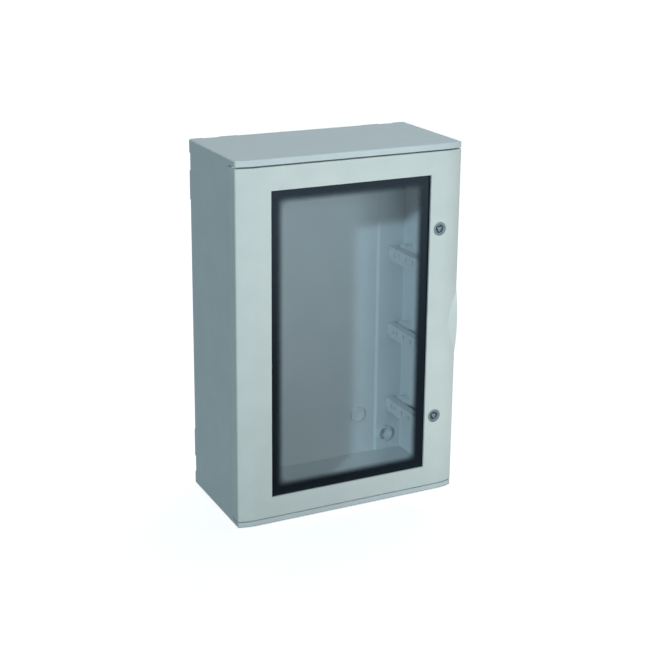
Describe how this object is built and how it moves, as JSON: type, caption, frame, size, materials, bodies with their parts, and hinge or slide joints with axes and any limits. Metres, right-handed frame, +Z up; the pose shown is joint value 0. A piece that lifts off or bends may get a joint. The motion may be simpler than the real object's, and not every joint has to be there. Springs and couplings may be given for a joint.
{
  "type": "polyester distribution box",
  "caption": "Tall grey polyester wall box with a hinged glazed door, round quarter-turn locks, a dark-bordered smoked window and slotted side rails inside.",
  "frame": {"origin": "under the middle of the box, on its bottom face", "axes": "+X to the right seen from the front, +Y to the wall behind, +Z up; the door faces -Y"},
  "size_m": [0.42, 0.21, 0.64],
  "materials": {
    "body_polyester": "fine moulded grain, light grey",
    "door_polyester": "fine moulded grain, light grey",
    "smoked_pane": "smooth, lightly smoked",
    "gasket_rubber": "matt black",
    "border_plastic": "satin blue-black",
    "zinc_steel": "bright zinc plating",
    "seal_foam": "soft dark foam",
    "insert_brass": "turned",
    "rail_plastic": "fine moulded grain, light grey",
    "bush_nylon": "natural nylon",
    "screw_nylon": "grey insulating nylon",
    "lock_zinc": "grey satin die casting",
    "core_zinc": "dark satin die casting"
  },
  "bodies": {
    "enclosure": {"enclosure_body": "body_polyester", "hinge_pin_upper": "zinc_steel", "hinge_pin_lower": "zinc_steel", "rail_inserts": "insert_brass", "rail_screws": "screw_nylon", "rail_left_1": "rail_plastic", "rail_left_2": "rail_plastic", "rail_left_3": "rail_plastic", "rail_left_4": "rail_plastic", "rail_right_1": "rail_plastic", "rail_right_2": "rail_plastic", "rail_right_3": "rail_plastic", "rail_right_4": "rail_plastic"},
    "door": {"door_frame": "door_polyester", "window_pane": "smoked_pane", "pane_gasket": "gasket_rubber", "pane_retainer": "border_plastic", "pane_clips": "zinc_steel", "clip_screws": "zinc_steel", "door_seal": "seal_foam", "hinge_bush_upper": "bush_nylon", "hinge_bush_lower": "bush_nylon", "lock_barrel_upper": "lock_zinc", "lock_barrel_lower": "lock_zinc", "lock_nut_upper": "zinc_steel", "lock_nut_lower": "zinc_steel"},
    "upper_lock": {"lock_core_upper": "core_zinc", "lock_cam_upper": "zinc_steel", "cam_screw_upper": "zinc_steel"},
    "lower_lock": {"lock_core_lower": "core_zinc", "lock_cam_lower": "zinc_steel", "cam_screw_lower": "zinc_steel"}
  },
  "joints": [
    {"name": "door_hinge", "type": "hinge", "parent": "enclosure", "child": "door", "pos_m": [-0.2035, -0.0846, 0], "axis": [0, 0, -1], "range_deg": [0, 115]},
    {"name": "upper_lock_turn", "type": "hinge", "parent": "door", "child": "upper_lock", "pos_m": [0.168, 0, 0.4905], "axis": [0, -1, 0], "range_deg": [0, 90]},
    {"name": "lower_lock_turn", "type": "hinge", "parent": "door", "child": "lower_lock", "pos_m": [0.168, 0, 0.1445], "axis": [0, -1, 0], "range_deg": [0, 90]}
  ]
}
